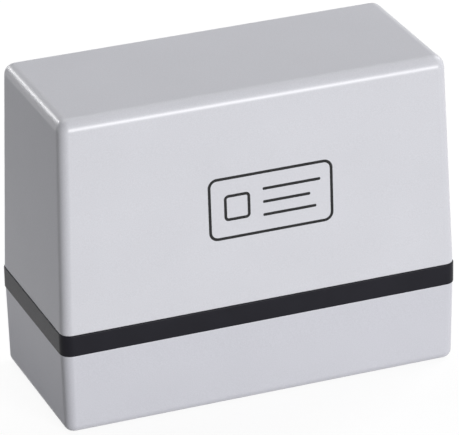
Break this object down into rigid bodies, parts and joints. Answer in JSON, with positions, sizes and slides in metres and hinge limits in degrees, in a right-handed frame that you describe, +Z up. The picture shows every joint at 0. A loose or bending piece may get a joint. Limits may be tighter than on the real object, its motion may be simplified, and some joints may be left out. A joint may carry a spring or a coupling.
{
  "type": "pre-inked stamp",
  "caption": "Hand stamp that holds its own ink: hollow silver handle on a black band, sprung skirt round a foam die, and a push-on dust cap.",
  "frame": {"origin": "on the table under the middle of the cap", "axes": "+Z up towards the handle's top, +X along the width, the front face is at -Y"},
  "size_m": [0.0702, 0.0314, 0.0552],
  "materials": {
    "pearl_silver": "pearl silver lacquer on moulded plastic, satin gloss",
    "satin_black": "black moulded plastic, satin",
    "inner_black": "charcoal moulded plastic, fine matt texture",
    "inked_felt": "ink-soaked felt",
    "die_foam": "microporous foam stained by ink",
    "spring_steel": "drawn wire",
    "screw_steel": "zinc plated"
  },
  "bodies": {
    "cap": {"cap": "pearl_silver"},
    "stamp": {"chassis": "satin_black", "die_carrier": "inner_black", "ink_pad": "inked_felt", "foam_die": "die_foam", "die_frame": "satin_black", "spring_front_left": "spring_steel", "spring_front_right": "spring_steel", "spring_back_left": "spring_steel", "spring_back_right": "spring_steel", "screw_front_left": "screw_steel", "screw_front_right": "screw_steel", "screw_back_left": "screw_steel", "screw_back_right": "screw_steel"},
    "skirt": {"skirt": "inner_black"},
    "handle": {"handle_cover": "pearl_silver"}
  },
  "joints": [
    {"name": "stamp_lift", "type": "slide", "parent": "cap", "child": "stamp", "axis": [0, 0, 1], "range_m": [0, 0.04]},
    {"name": "skirt_press", "type": "slide", "parent": "stamp", "child": "skirt", "axis": [0, 0, 1], "range_m": [0, 0.0025], "stiffness_N_per_m": 800, "springref_m": -0.003, "deforming": ["spring_front_left", "spring_front_right", "spring_back_left", "spring_back_right"]},
    {"name": "handle_pull", "type": "slide", "parent": "stamp", "child": "handle", "axis": [0, 0, 1], "range_m": [0, 0.025]}
  ]
}
